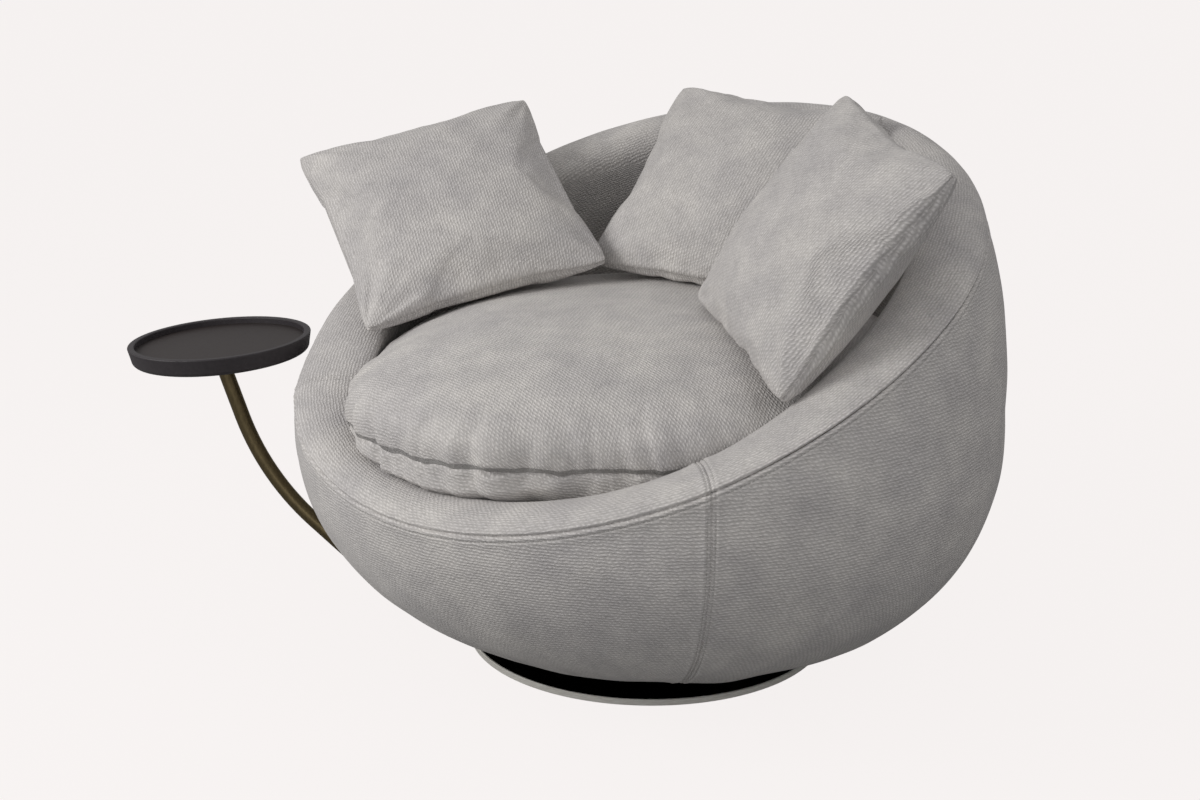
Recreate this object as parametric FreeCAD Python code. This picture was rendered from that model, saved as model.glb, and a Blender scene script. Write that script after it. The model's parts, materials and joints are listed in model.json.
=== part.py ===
import FreeCAD, Part
import math
import os

# Cuddle chair: a round upholstered tub on a swivel disc, one big seat pouffe, three loose
# cushions and a small round tray on a curved arm that swings round under the tub.
# Millimetres, +Z up, the chair faces -Y, the origin is on the floor on the swivel axis.

V = FreeCAD.Vector
UP = V(0, 0, 1)
ORIGIN = V(0, 0, 0)

# Driving dimensions of the tub
belly_radius = 563.0
belly_height = 363.0
lower_reach = 396.0
lower_depth = 354.0
upper_curve = 742.0
foot_height = 50.0
foot_setback = 45.0
back_lean = 0.26
lean_start = 425.0
seam_front = 350.0
seam_side = 602.0
seam_back = 745.0
crest_front = 27.0
crest_side = 20.0
crest_back = 80.0
rim_width = 110.0

# Tub construction
cover_thick = 4.0
outer_foam = 20.0
inner_foam = 36.0
seat_gap = 0.3
foam_clear = 1.5
frame_gap = 3.0
rib_top_gap = 5.0
section_step = 15.0
panel_seam_angle = 45.0
rib_count = 12
rib_thick = 18.0
hoop_height = 20.0
board_bottom = 96.0
board_thick = 18.0
foot_hoop_width = 18.0
deck_height = 240.0
deck_ring_width = 40.0
deck_ring_thick = 25.0
web_width = 50.0
web_thick = 2.0
web_pairs = 3
web_margin = 188.0
web_pitch = (belly_radius - web_margin) / web_pairs
deck_foam_thick = 26.0
deck_cloth_thick = 3.0
dust_cloth_thick = 1.5
dust_hole_gap = 4.0

# Base and swivel
base_radius = 295.0
base_top = 12.0
trim_wall = 3.0
trim_stand = 0.5
trim_chamfer = 0.8
glide_radius = 14.0
glide_thick = 2.0
glide_circle = 255.0
glide_count = 8
column_radius = 32.0
column_wall = 6.0
column_foot_width = 34.0
column_foot_thick = 1.5
turntable_radius = 92.0
turntable_plate = 4.0
plate_space = 5.0
ball_radius = 4.0
ball_circle = 74.0
ball_count = 24
ball_play = 0.4
race_half_width = 8.0
race_split = 1.0
race_screw_circle = 52.0
race_screw_count = 6
screw_bite = 14.0
tray_screw_bite = 12.0
screw_radius = 3.0
screw_head_radius = 6.0
screw_head_height = 2.5

# Tray arm and its pivot drum
drum_radius = 108.0
drum_wall = 5.0
drum_flange_radius = 136.0
drum_flange_thick = 4.0
drum_screw_circle = 124.0
drum_screw_count = 6
drum_floor_gap = 3.5
collar_wall = 12.0
bush_wall = 1.2
running_gap = 0.3
clip_thick = 2.5
clip_depth = 1.0
clip_width = 8.0
washer_thick = 1.0
tube_radius = 12.5
tube_wall = 2.0
arm_angle = -61.0
arm_tuck = 211.0
arm_foot_run = belly_radius - arm_tuck
arm_low_radius = 200.0
arm_low_turn = 42.0
arm_middle_run = 113.0
arm_high_radius = 415.0
arm_high_turn = 30.0
arm_top_run = 93.0
arm_head_radius = 17.0
arm_head_height = 22.0
tray_radius = 150.0
tray_thick = 30.0
tray_taper = 4.0
tray_lip = 10.0
tray_wall = 11.0
tray_edge_round = 9.0
tray_lip_round = 2.0
tray_tilt = 3.4
tray_flange_radius = 45.0
tray_flange_thick = 4.0
tray_screw_circle = 32.0
tray_screw_count = 4
inlay_thick = 2.0

# Seat pouffe
pouf_floor_gap = 0.5
pouf_wall_gap = 8.0
pouf_neck_height = 345.0
pouf_border_height = 380.0
pouf_overhang_radius = 476.0
pouf_overhang_half_angle = 36.0
pouf_seam_height = 436.0
pouf_crown = 130.0
pouf_crown_power = 2.3
pouf_cover = 2.5
pouf_corner = 30.0

# Scatter cushions: place of the middle, direction it faces, lean, turn in its own plane, side
pouf_top = pouf_seam_height + pouf_crown
scatter_places = {
    "left": (V(-395, -33, pouf_top + 103), -52.0, 54.0, 21.0, 430.0),
    "back": (V(-6, 249, pouf_top + 138), -81.0, 47.0, -5.0, 400.0),
    "right": (V(322, -32, pouf_top + 137), -121.0, 34.0, -11.0, 400.0),
}
scatter_half_thick = 56.0
scatter_draw_in = 16.0
scatter_cover = 2.0


def polar(radius, angle, height=0.0):
    """Point at an angle from the front of the chair, positive towards +X."""
    turn = math.radians(angle)
    return V(radius * math.sin(turn), -radius * math.cos(turn), height)


def blend(angle, front, side, back):
    """Smooth value round the tub that passes through its front, side and back values."""
    toward_back = -math.cos(math.radians(angle))
    swing = (back - front) / 2.0
    bow = (back + front) / 2.0 - side
    return side + swing * toward_back + bow * toward_back ** 2


def seam_height(angle):
    return blend(angle, seam_front, seam_side, seam_back)


def crest_rise(angle):
    return blend(angle, crest_front, crest_side, crest_back)


def level_radius(height):
    """Radius of the tub's level circle at a height."""
    if height < belly_height:
        drop = min(1.0, (belly_height - height) / lower_depth)
        return belly_radius - lower_reach + lower_reach * math.sqrt(1.0 - drop ** 2)
    rise = height - belly_height
    return belly_radius - upper_curve + math.sqrt(upper_curve ** 2 - rise ** 2)


def level_shift(height):
    """How far the centre of that circle lies behind the swivel axis."""
    shift = back_lean * max(0.0, height - lean_start)
    if height < belly_height:
        shift += foot_setback * ((belly_height - height) / (belly_height - foot_height)) ** 2
    return shift


def tub_radius(angle, height):
    """Distance from the swivel axis to the tub's outside."""
    turn = math.radians(angle)
    shift = level_shift(height)
    return math.sqrt(level_radius(height) ** 2 - (shift * math.sin(turn)) ** 2) - shift * math.cos(turn)


def curve(points):
    """Edges through an odd number of points: an arc through each three."""
    edges = []
    for k in range(0, len(points) - 2, 2):
        edges.append(Part.Arc(points[k], points[k + 1], points[k + 2]).toShape())
    return edges


def line(a, b):
    return Part.LineSegment(a, b).toShape()


def closed_wire(stretches):
    """Closed wire of curved stretches, each a list of points, joined by straight lines."""
    edges = []
    for k, stretch in enumerate(stretches):
        edges += curve(stretch) if len(stretch) > 2 else [line(stretch[0], stretch[1])]
        end, start = stretch[-1], stretches[(k + 1) % len(stretches)][0]
        if end.distanceToPoint(start) > 1e-6:
            edges.append(line(end, start))
    return Part.Wire(edges)


def wall_points(angle, inset, low, high, arcs=4):
    """Points up the tub's wall in one radial plane, closer together near the foot."""
    steps = 2 * arcs
    points = []
    for k in range(steps + 1):
        height = low + (high - low) * (k / steps) ** 1.4
        points.append(polar(tub_radius(angle, height) - inset, angle, height))
    return points


def rim_points(angle, inset, base_lift=0.0):
    """Points over the rim from its outer seam to its inner edge."""
    base = seam_height(angle) + base_lift
    outer = tub_radius(angle, seam_height(angle))
    points = []
    for k in range(9):
        turn = math.pi * k / 8
        radius = outer - rim_width / 2 + (rim_width / 2 - inset) * math.cos(turn)
        height = base + (crest_rise(angle) - inset - base_lift) * math.sin(turn)
        points.append(polar(radius, angle, height))
    return points


def ring_angles(first=-180.0, last=180.0):
    count = max(2, round((last - first) / section_step))
    return [first + (last - first) * k / count for k in range(count + 1)]


def ring(section, first=-180.0, last=180.0):
    """Solid whose section in each radial plane is the given closed wire."""
    whole = last - first > 359.0
    if not whole:
        return Part.makeLoft([section(a) for a in ring_angles(first, last)], True, False, False)
    halves = [Part.makeLoft([section(a) for a in ring_angles(a0, a0 + 180.0)], True, False, False)
              for a0 in (-180.0, 0.0)]
    return halves[0].fuse(halves[1])


def disc(radius, low, high, centre_y=0.0):
    return Part.makeCylinder(radius, high - low, V(0, centre_y, low), UP)


def tube(outer, inner, low, high):
    return disc(outer, low, high).cut(disc(inner, low - 1, high + 1))


def around(shape, count, start=0.0):
    """Copies of a shape spaced evenly round the swivel axis."""
    copies = []
    for k in range(count):
        copy = shape.copy()
        copy.rotate(ORIGIN, UP, start + 360.0 * k / count)
        copies.append(copy)
    return Part.makeCompound(copies)


def screw(point, length, direction=UP):
    """Screw with a low round head; the head starts at the point, the shank runs along direction."""
    head = Part.makeCylinder(screw_head_radius, screw_head_height, point - direction * screw_head_height, direction)
    return head.fuse(Part.makeCylinder(screw_radius, length, point, direction)).removeSplitter()


def save(name, shape):
    shape.exportStep("parts/" + name + ".step")


# Tub covers
def cover_section(angle):
    top = seam_height(angle) - seat_gap
    outside = wall_points(angle, 0.0, foot_height, top)
    inside = wall_points(angle, cover_thick, foot_height, top)
    return closed_wire([outside, inside[::-1]])


def rim_cover_section(angle):
    outside = rim_points(angle, 0.0)
    inside = rim_points(angle, cover_thick)
    return closed_wire([outside, inside[::-1]])


def inner_cover_section(angle):
    top = seam_height(angle) - seat_gap
    low = deck_height + 2 * web_thick + 3 * seat_gap
    inside = wall_points(angle, rim_width, low, top)
    outside = wall_points(angle, rim_width - cover_thick, low, top)
    return closed_wire([inside, outside[::-1]])


# Tub foams
def outer_foam_section(angle):
    top = seam_height(angle) - seat_gap
    outside = wall_points(angle, cover_thick + 2 * foam_clear, foot_height, top)
    inside = wall_points(angle, cover_thick + outer_foam, foot_height, top)
    return closed_wire([outside, inside[::-1]])


def inner_foam_section(angle):
    top = seam_height(angle) - seat_gap
    low = deck_height + 2 * web_thick + 3 * seat_gap
    inside = wall_points(angle, rim_width - cover_thick - foam_clear, low, top)
    outside = wall_points(angle, rim_width - cover_thick - inner_foam, low, top)
    return closed_wire([inside, outside[::-1]])


def rim_foam_section(angle):
    over = rim_points(angle, cover_thick + foam_clear)
    return closed_wire([over])


# Tub frame
rib_outer_inset = cover_thick + outer_foam + frame_gap
rib_inner_inset = rim_width - cover_thick - inner_foam - frame_gap


def hoop_section(angle):
    top = seam_height(angle) - frame_gap
    low = top - hoop_height
    corners = [polar(tub_radius(angle, low) - rib_outer_inset, angle, low),
               polar(tub_radius(angle, top) - rib_outer_inset, angle, top),
               polar(tub_radius(angle, top) - rib_inner_inset, angle, top),
               polar(tub_radius(angle, low) - rib_inner_inset, angle, low)]
    return Part.makePolygon(corners + corners[:1])


def foot_hoop_section(angle):
    low = foot_height + frame_gap
    top = board_bottom - seat_gap
    outside = wall_points(angle, rib_outer_inset, low, top, 1)
    inside = wall_points(angle, rib_outer_inset + foot_hoop_width, low, top, 1)
    return closed_wire([outside, inside[::-1]])


def rib(angle):
    """Plywood rib standing on the base board, with a step that carries the deck ring."""
    low = board_bottom + board_thick + seat_gap
    top = seam_height(angle) - frame_gap - hoop_height - rib_top_gap
    outside = wall_points(angle, rib_outer_inset, low, top)
    inside = wall_points(angle, rib_inner_inset, deck_height, top)
    step = deck_ring_outer(angle) + seat_gap
    ledge = deck_height - deck_ring_thick - seat_gap
    foot = tub_radius(angle, low) - rib_outer_inset - 110.0
    lower = [inside[0], polar(step, angle, ledge),
             polar(step - deck_ring_width, angle, ledge), polar(foot, angle, low)]
    edges = curve(outside) + [line(outside[-1], inside[-1])] + curve(inside[::-1])
    for a, b in zip(lower, lower[1:]):
        edges.append(line(a, b))
    edges.append(line(lower[-1], outside[0]))
    face = Part.Face(Part.Wire(edges))
    across = polar(1.0, angle + 90.0)
    face.translate(across * (-rib_thick / 2))
    return face.extrude(across * rib_thick)


def deck_ring_outer(angle):
    return tub_radius(angle, deck_height) - rib_inner_inset - seat_gap


def deck_ring_section(angle):
    outer = deck_ring_outer(angle)
    low = deck_height - deck_ring_thick
    corners = [polar(outer, angle, low), polar(outer, angle, deck_height),
               polar(outer - deck_ring_width, angle, deck_height), polar(outer - deck_ring_width, angle, low)]
    return Part.makePolygon(corners + corners[:1])


def deck_outline_radius(inset):
    """Largest round deck about its own centre that stays inside the tub's inner wall."""
    return level_radius(deck_height) - inset


def straps(crosswise):
    """Webbing straps, each cut to reach the middle of the deck ring."""
    low = deck_height + seat_gap + (web_thick + seat_gap if crosswise else 0.0)
    reach = deck_outline_radius(rib_inner_inset) - deck_ring_width / 2
    centre = level_shift(deck_height)
    strips = []
    for k in range(-web_pairs, web_pairs + 1):
        offset = k * web_pitch
        half = math.sqrt(reach ** 2 - (abs(offset) + web_width / 2) ** 2)
        strip = Part.makeBox(2 * half, web_width, web_thick, V(-half, offset - web_width / 2, low))
        if not crosswise:
            strip.rotate(ORIGIN, UP, 90)
        strip.translate(V(0, centre, 0))
        strips.append(strip)
    return Part.makeCompound(strips)


def make_tub():
    save("outer_cover_front", ring(cover_section, -panel_seam_angle, panel_seam_angle))
    save("outer_cover_back", ring(cover_section, panel_seam_angle + 0.05, 360.0 - panel_seam_angle - 0.05))
    save("rim_cover", ring(rim_cover_section))
    save("inner_cover", ring(inner_cover_section))
    save("outer_foam", ring(outer_foam_section))
    save("inner_foam", ring(inner_foam_section))
    save("rim_foam", ring(rim_foam_section))
    save("rim_hoop", ring(hoop_section))
    save("foot_hoop", ring(foot_hoop_section))
    save("deck_ring", ring(deck_ring_section))
    save("frame_ribs", Part.makeCompound([rib(360.0 * k / rib_count) for k in range(rib_count)]))


def make_deck():
    centre = level_shift(deck_height)
    foam_low = deck_height + 2 * web_thick + 3 * seat_gap
    foam_top = foam_low + deck_foam_thick
    radius = deck_outline_radius(rim_width) - 1.0
    board_radius = level_radius(board_bottom) - rib_outer_inset
    board = disc(board_radius, board_bottom, board_bottom + board_thick, level_shift(board_bottom))
    save("base_board", board.cut(race_screws()).cut(drum_screws()))
    save("webbing_lengthwise", straps(False))
    save("webbing_crosswise", straps(True))
    save("deck_foam", disc(radius, foam_low, foam_top, centre))
    save("deck_cloth", disc(radius, foam_top + seat_gap, foam_top + seat_gap + deck_cloth_thick, centre))
    dust_top = foot_height - seat_gap
    dust_radius = level_radius(foot_height) - cover_thick
    dust = disc(dust_radius, dust_top - dust_cloth_thick, dust_top, level_shift(foot_height))
    save("dust_cover", dust.cut(disc(drum_radius + dust_hole_gap, 0, board_bottom)))


def make_base():
    glide = Part.makeCylinder(glide_radius, glide_thick, V(glide_circle, 0, 0), UP)
    centre_pad = Part.makeCylinder(glide_radius, glide_thick, V(0, 0, 0), UP)
    save("floor_glides", Part.Compound([around(glide, glide_count), centre_pad]))
    save("base_plate", disc(base_radius - trim_wall, glide_thick, plate_top))
    trim = tube(base_radius, base_radius - trim_wall, glide_thick, base_top)
    rims = [e for e in trim.Edges if abs(e.BoundBox.XMax - base_radius) < 0.01 and e.BoundBox.ZLength < 0.01]
    save("base_trim_ring", trim.makeChamfer(trim_chamfer, rims))


# Swivel: two race plates with a ring of balls between them
plate_top = base_top - trim_stand
upper_plate_top = board_bottom
upper_plate_low = upper_plate_top - turntable_plate
ball_height = upper_plate_low - plate_space / 2
lower_plate_top = ball_height - plate_space / 2
lower_plate_low = lower_plate_top - turntable_plate


def raceway(low, high):
    return tube(ball_circle + race_half_width, ball_circle - race_half_width, low, high)


def make_swivel():
    bore = column_radius - column_wall
    column = tube(column_radius, bore, plate_top, lower_plate_low)
    foot = tube(column_radius + column_foot_width, bore, plate_top, plate_top + column_foot_thick)
    save("column", column.fuse(foot).removeSplitter())
    groove = Part.makeTorus(ball_circle, ball_radius + ball_play, V(0, 0, ball_height))
    lower = tube(turntable_radius, bore, lower_plate_low, lower_plate_top)
    lower = lower.fuse(raceway(lower_plate_top, ball_height - race_split)).removeSplitter()
    save("swivel_lower_race", lower.cut(groove))
    upper = tube(turntable_radius, bore, upper_plate_low, upper_plate_top)
    upper = upper.fuse(raceway(ball_height + race_split, upper_plate_low)).removeSplitter()
    save("swivel_upper_race", upper.cut(groove).cut(race_screws()))
    ball = Part.makeSphere(ball_radius, V(ball_circle, 0, ball_height))
    save("swivel_balls", around(ball, ball_count))
    save("swivel_screws", race_screws())


def race_screws():
    one = screw(V(race_screw_circle, 0, upper_plate_low), turntable_plate + screw_bite)
    return around(one, race_screw_count, 30.0)


def drum_screws():
    one = screw(V(drum_screw_circle, 0, board_bottom - drum_flange_thick), drum_flange_thick + screw_bite)
    return around(one, drum_screw_count)


# Tray arm: collar on the drum, bent tube, head
drum_low = base_top + drum_floor_gap
clip_low = drum_low + clip_thick / 2
clip_top = clip_low + clip_thick
washer_top = clip_top + washer_thick
collar_low = washer_top + running_gap
tube_height = collar_low + tube_radius
collar_bore = drum_radius + running_gap + bush_wall
collar_radius = collar_bore + collar_wall


def make_drum():
    drum = tube(drum_radius, drum_radius - drum_wall, drum_low, board_bottom)
    flange = tube(drum_flange_radius, drum_radius - drum_wall, board_bottom - drum_flange_thick, board_bottom)
    clip = tube(drum_radius + clip_width, drum_radius - clip_depth, clip_low, clip_top)
    save("arm_pivot_drum", drum.fuse(flange).removeSplitter().cut(clip).cut(drum_screws()))
    gap = disc(drum_radius + clip_width, clip_low, clip_top).common(
        Part.makeBox(drum_radius * 2, 12, clip_thick, V(0, -6, clip_low)))
    save("arm_retaining_clip", clip.cut(gap))
    save("arm_thrust_washer", tube(drum_radius + clip_width, drum_radius + running_gap, clip_top, washer_top))
    save("drum_screws", drum_screws())


def arm_path():
    """Centre line of the arm tube in its radial plane, as (radius, height) points and runs."""
    start = V(collar_radius - tube_radius, 0, tube_height)
    knee = V(arm_foot_run, 0, tube_height)
    edges = [line(start, knee)]
    point, slope = knee, 0.0
    for radius, turn, run in ((arm_low_radius, arm_low_turn, arm_middle_run),
                              (arm_high_radius, arm_high_turn, arm_top_run)):
        point, slope, bend, straight = bend_and_run(point, slope, radius, turn, run)
        edges += [bend, straight]
    return edges, point


def bend_and_run(point, slope, radius, turn, run):
    """Upward bend of the given radius and turn, then a straight run."""
    def on_bend(angle):
        a, s = math.radians(angle), math.radians(slope)
        return point + V(radius * (math.sin(a) - math.sin(s)), 0, radius * (math.cos(s) - math.cos(a)))
    after = slope + turn
    bend_end = on_bend(after)
    bend = Part.Arc(point, on_bend(slope + turn / 2), bend_end).toShape()
    run_end = bend_end + V(math.cos(math.radians(after)), 0, math.sin(math.radians(after))) * run
    return run_end, after, bend, line(bend_end, run_end)


def sweep_tube(radius):
    edges, _ = arm_path()
    start = edges[0].Vertexes[0].Point
    profile = Part.Wire([Part.makeCircle(radius, start, V(1, 0, 0))])
    return Part.Wire(edges).makePipeShell([profile], True, False)


def tray_frame(shape):
    """Moves a shape made about the Z axis onto the tilted tray axis at the arm's top."""
    _, top = arm_path()
    shape.rotate(ORIGIN, V(0, 1, 0), tray_tilt)
    shape.translate(top)
    return turn_to_arm(shape)


def turn_to_arm(shape):
    shape.rotate(ORIGIN, UP, arm_angle - 90.0)
    return shape


def tray_screw_set():
    low = arm_head_height / 2
    one = screw(V(tray_screw_circle, 0, low), tray_flange_thick + tray_screw_bite)
    return around(one, tray_screw_count, 45.0)


def make_arm():
    collar_high = collar_low + 2 * tube_radius
    save("arm_collar", tube(collar_radius, collar_bore, collar_low, collar_high))
    save("arm_bush", tube(collar_bore, drum_radius + running_gap, collar_low, collar_high))
    head = disc(arm_head_radius, -arm_head_height / 2, arm_head_height / 2)
    head = tray_frame(head)
    arm = turn_to_arm(sweep_tube(tube_radius).cut(sweep_tube(tube_radius - tube_wall)))
    save("arm_tube", arm.cut(disc(collar_radius, 0, board_bottom)).cut(head).Solids[0])
    save("arm_head", head)


def make_tray():
    flange_low = arm_head_height / 2
    flange_top = flange_low + tray_flange_thick
    flange = disc(tray_flange_radius, flange_low, flange_top).cut(tray_screw_set())
    save("tray_flange", tray_frame(flange))
    save("tray_screws", tray_frame(tray_screw_set()))
    floor = tray_thick - tray_lip - inlay_thick
    foot = tray_radius - tray_taper
    well = tray_radius - tray_wall
    side = [V(0, 0, 0), V(foot - tray_edge_round, 0, 0)]
    bend = arc_corner(V(foot - tray_edge_round, 0, tray_edge_round), tray_edge_round, -90, 0)
    rim_out = arc_corner(V(tray_radius - tray_lip_round, 0, tray_thick - tray_lip_round), tray_lip_round, 0, 90)
    rim_in = arc_corner(V(well + tray_lip_round, 0, tray_thick - tray_lip_round), tray_lip_round, 90, 180)
    inside = [V(well, 0, floor), V(0, 0, floor)]
    profile = closed_wire([side, bend, rim_out, rim_in, inside])
    body = Part.Face(profile).revolve(ORIGIN, UP, 360)
    body.translate(V(0, 0, flange_top))
    save("tray_body", tray_frame(body.cut(tray_screw_set())))
    inlay = disc(well, flange_top + floor, flange_top + floor + inlay_thick)
    save("tray_inlay", tray_frame(inlay))


def arc_corner(centre, radius, first, last):
    """Three points on an arc in the XZ plane."""
    points = []
    for angle in (first, (first + last) / 2.0, last):
        turn = math.radians(angle)
        points.append(centre + V(radius * math.cos(turn), 0, radius * math.sin(turn)))
    return points


# Seat pouffe
pouf_bottom = deck_height + 2 * web_thick + 4 * seat_gap + deck_foam_thick + deck_cloth_thick + pouf_floor_gap


def pouf_radius(angle, height, inset):
    """Radius below the seam: the bowl's wall less a gap, swelling over the low front rim."""
    start = seam_height(angle)
    wall = tub_radius(angle, min(height, start)) - rim_width - pouf_wall_gap
    limit = math.cos(math.radians(pouf_overhang_half_angle))
    share = max(0.0, (math.cos(math.radians(angle)) - limit) / (1.0 - limit))
    front = share * share * (3.0 - 2.0 * share)
    rise = (height - start) / max(1.0, pouf_seam_height - start)
    swell = math.sin(min(1.0, max(0.0, rise)) * math.pi / 2)
    return wall + (pouf_overhang_radius - wall) * front * swell - inset


def level_outline(radius_at, height):
    """Level closed outline of twelve arcs."""
    points = [polar(radius_at(15.0 * k), 15.0 * k, height) for k in range(24)]
    return Part.Wire(curve(points + points[:1]))


def pouf_layers(inset):
    """Outlines of the bottom, the border and the crown."""
    def level(height, draw=0.0):
        return level_outline(lambda a: pouf_radius(a, height, inset) - draw, height)
    low = pouf_bottom + inset
    corner = pouf_corner
    bottom = [level(low, corner), level(low + corner * 0.3, corner * 0.3), level(low + corner)]
    bottom += [level(pouf_neck_height), level((pouf_neck_height + pouf_border_height) / 2), level(pouf_border_height)]
    step = (pouf_seam_height - pouf_border_height) / 3
    border = [level(pouf_border_height + k * step) for k in range(4)]
    crown = []
    for share in (1.0, 0.975, 0.9, 0.77, 0.58, 0.36, 0.14):
        lift = (1.0 - share ** pouf_crown_power) ** (1.0 / pouf_crown_power)
        height = pouf_seam_height + (pouf_crown - inset) * lift
        crown.append(level_outline(lambda a: share * pouf_radius(a, pouf_seam_height, inset), height))
    return bottom, border, crown


def loft(outlines):
    return Part.makeLoft(outlines, True, False, False)


def make_pouf():
    outer = [loft(layer) for layer in pouf_layers(0.0)]
    inner = [loft(layer) for layer in pouf_layers(pouf_cover)]
    core = inner[0].fuse(inner[1]).fuse(inner[2])
    save("seat_cushion_core", core)
    for name, layer in zip(("bottom_panel", "border", "top_panel"), outer):
        save("seat_cushion_" + name, layer.cut(core))


# Scatter cushions
def scatter_outline(half, sag, height):
    """Four-sided outline with pointed corners; a positive sag draws the sides in."""
    corners = [V(half, half, height), V(-half, half, height), V(-half, -half, height), V(half, -half, height)]
    edges = []
    for a, b in zip(corners, corners[1:] + corners[:1]):
        middle = (a + b) / 2
        inward = V(-middle.x, -middle.y, 0) / half
        edges.append(Part.Arc(a, middle + inward * sag, b).toShape())
    return Part.Wire(edges)


def scatter_half(side, inset):
    """Upper half of a cushion, from its sewn edge to its crown."""
    half = side / 2 - inset
    thick = scatter_half_thick - inset
    layers = ((1.0, 1.0, 0.0), (0.94, 0.55, 0.3), (0.81, -0.1, 0.64), (0.56, -0.6, 0.89), (0.24, -0.35, 1.0))
    return loft([scatter_outline(half * share, scatter_draw_in * bow, thick * lift)
                 for share, bow, lift in layers])


def place_scatter(shape, place):
    middle, facing, lean, turn, _ = place
    shape.rotate(ORIGIN, UP, turn)
    shape.rotate(ORIGIN, V(0, 1, 0), 90.0 - lean)
    shape.rotate(ORIGIN, UP, facing)
    shape.translate(middle)
    return shape


def make_scatter(name, place):
    side = place[4]
    outer = scatter_half(side, 0.0)
    inner = scatter_half(side, scatter_cover)
    panel = outer.cut(inner)
    mirrored = panel.mirror(ORIGIN, UP)
    filling = inner.fuse(inner.mirror(ORIGIN, UP))
    prefix = "scatter_" + name + "_"
    save(prefix + "front_panel", place_scatter(panel, place))
    save(prefix + "back_panel", place_scatter(mirrored, place))
    save(prefix + "filling", place_scatter(filling, place))


os.makedirs("parts", exist_ok=True)
make_base()
make_swivel()
make_drum()
make_arm()
make_tray()
make_tub()
make_deck()
make_pouf()
for scatter_name, scatter_place in scatter_places.items():
    make_scatter(scatter_name, scatter_place)
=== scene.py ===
import json
import math

import bmesh
import bpy
import numpy as np
from mathutils import Matrix, Vector, noise


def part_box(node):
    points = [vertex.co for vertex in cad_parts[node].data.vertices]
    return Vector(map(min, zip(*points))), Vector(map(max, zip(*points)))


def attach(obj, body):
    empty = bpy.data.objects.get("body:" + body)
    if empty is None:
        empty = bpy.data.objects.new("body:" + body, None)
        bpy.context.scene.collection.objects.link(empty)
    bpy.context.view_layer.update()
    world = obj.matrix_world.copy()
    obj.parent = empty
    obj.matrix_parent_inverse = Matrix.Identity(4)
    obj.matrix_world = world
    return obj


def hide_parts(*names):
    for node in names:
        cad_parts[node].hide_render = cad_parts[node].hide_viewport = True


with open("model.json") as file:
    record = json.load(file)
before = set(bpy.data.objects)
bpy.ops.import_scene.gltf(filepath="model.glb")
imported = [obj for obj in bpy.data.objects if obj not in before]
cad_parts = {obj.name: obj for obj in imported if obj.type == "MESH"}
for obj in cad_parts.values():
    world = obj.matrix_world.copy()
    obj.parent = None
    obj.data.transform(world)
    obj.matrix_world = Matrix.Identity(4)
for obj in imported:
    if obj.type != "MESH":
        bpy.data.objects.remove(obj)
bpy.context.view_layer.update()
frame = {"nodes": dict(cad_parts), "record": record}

# Cuddle chair looks: a woven tub with topstitched seams, an overstuffed seat pouffe, three scatter
# cushions, a dark round tray on a bronze arm and a polished swivel disc. Metres, in the frame's axes.

# Driving dimensions of the tub, as in the part
BELLY_RADIUS = 0.563
BELLY_HEIGHT = 0.363
LOWER_REACH = 0.396
LOWER_DEPTH = 0.354
UPPER_CURVE = 0.742
FOOT_HEIGHT = 0.050
FOOT_SETBACK = 0.045
BACK_LEAN = 0.26
LEAN_START = 0.425
SEAM_HEIGHTS = (0.350, 0.602, 0.745)
CREST_RISES = (0.027, 0.020, 0.080)
RIM_WIDTH = 0.110
PANEL_SEAMS = (-45.0, 45.0)
DECK_HEIGHT = 0.240

# Cloth of the tub: CLOTH_RADIUS turns an angle into metres of cloth, and SLANT_NEAR_SEAM a drop in height
CLOTH_THICK = 0.0025
CLOTH_RADIUS = 0.50
RIM_CLOTH_START = 0.8
LINING_FOOT = 0.034
LINING_ROWS = 36
LIP_WIDTH = 0.020
LIP_RISE = 0.001
HEM_TOP = 0.16
HEM_WAVER = 0.0045
SLANT_NEAR_SEAM = 1.08

# Seat pouffe
POUF_BOTTOM = 0.2747
POUF_WALL_GAP = 0.008
POUF_SEAM_HEIGHT = 0.422
POUF_TOP = 0.566
POUF_CROWN = POUF_TOP - POUF_SEAM_HEIGHT
POUF_CROWN_POWER = 2.5
POUF_CORNER = 0.030
POUF_REACH = 0.511
POUF_REACH_LEFT = (-50.0, -20.0)
POUF_REACH_RIGHT = (-4.0, 34.0)
POUF_SPILL_HEIGHT = 0.040
POUF_PLUMP = 0.010
POUF_GROOVE = 0.0045
POUF_GROOVE_WIDTH = 0.0030
POUF_COLUMNS = 480
GATHER_DEPTH = 0.038
GATHER_LENGTH = 0.062
SEAM_SWAY = 0.0050

# Scatter cushions: middle, direction faced, lean, turn in its own plane, side
SCATTERS = {
    "left": (Vector((-0.395, -0.033, 0.669)), -52.0, 54.0, 21.0, 0.430),
    "back": (Vector((-0.006, 0.249, 0.704)), -81.0, 47.0, -5.0, 0.400),
    "right": (Vector((0.322, -0.032, 0.703)), -121.0, 34.0, -11.0, 0.400),
}
SCATTER_HALF_THICK = 0.070
SCATTER_BLANK_PUFF = 0.55
SCATTER_BLOWN_SHARE = 0.45
SCATTER_DRAW_SHARE = 0.4
SCATTER_BACK_SWELL = 1.22
SCATTER_DRAW_CAP = 0.020
SCATTER_EASE = 1.022
SCATTER_GROOVE = 0.0058
SCATTER_GROOVE_WIDTH = 0.0036
SCATTER_TIP = 0.045
SCATTER_CELLS = 52
SCATTER_FINE_CELLS = 96
BLOW_FRAMES = 20
BLOW_PRESSURE = 4.0

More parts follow.
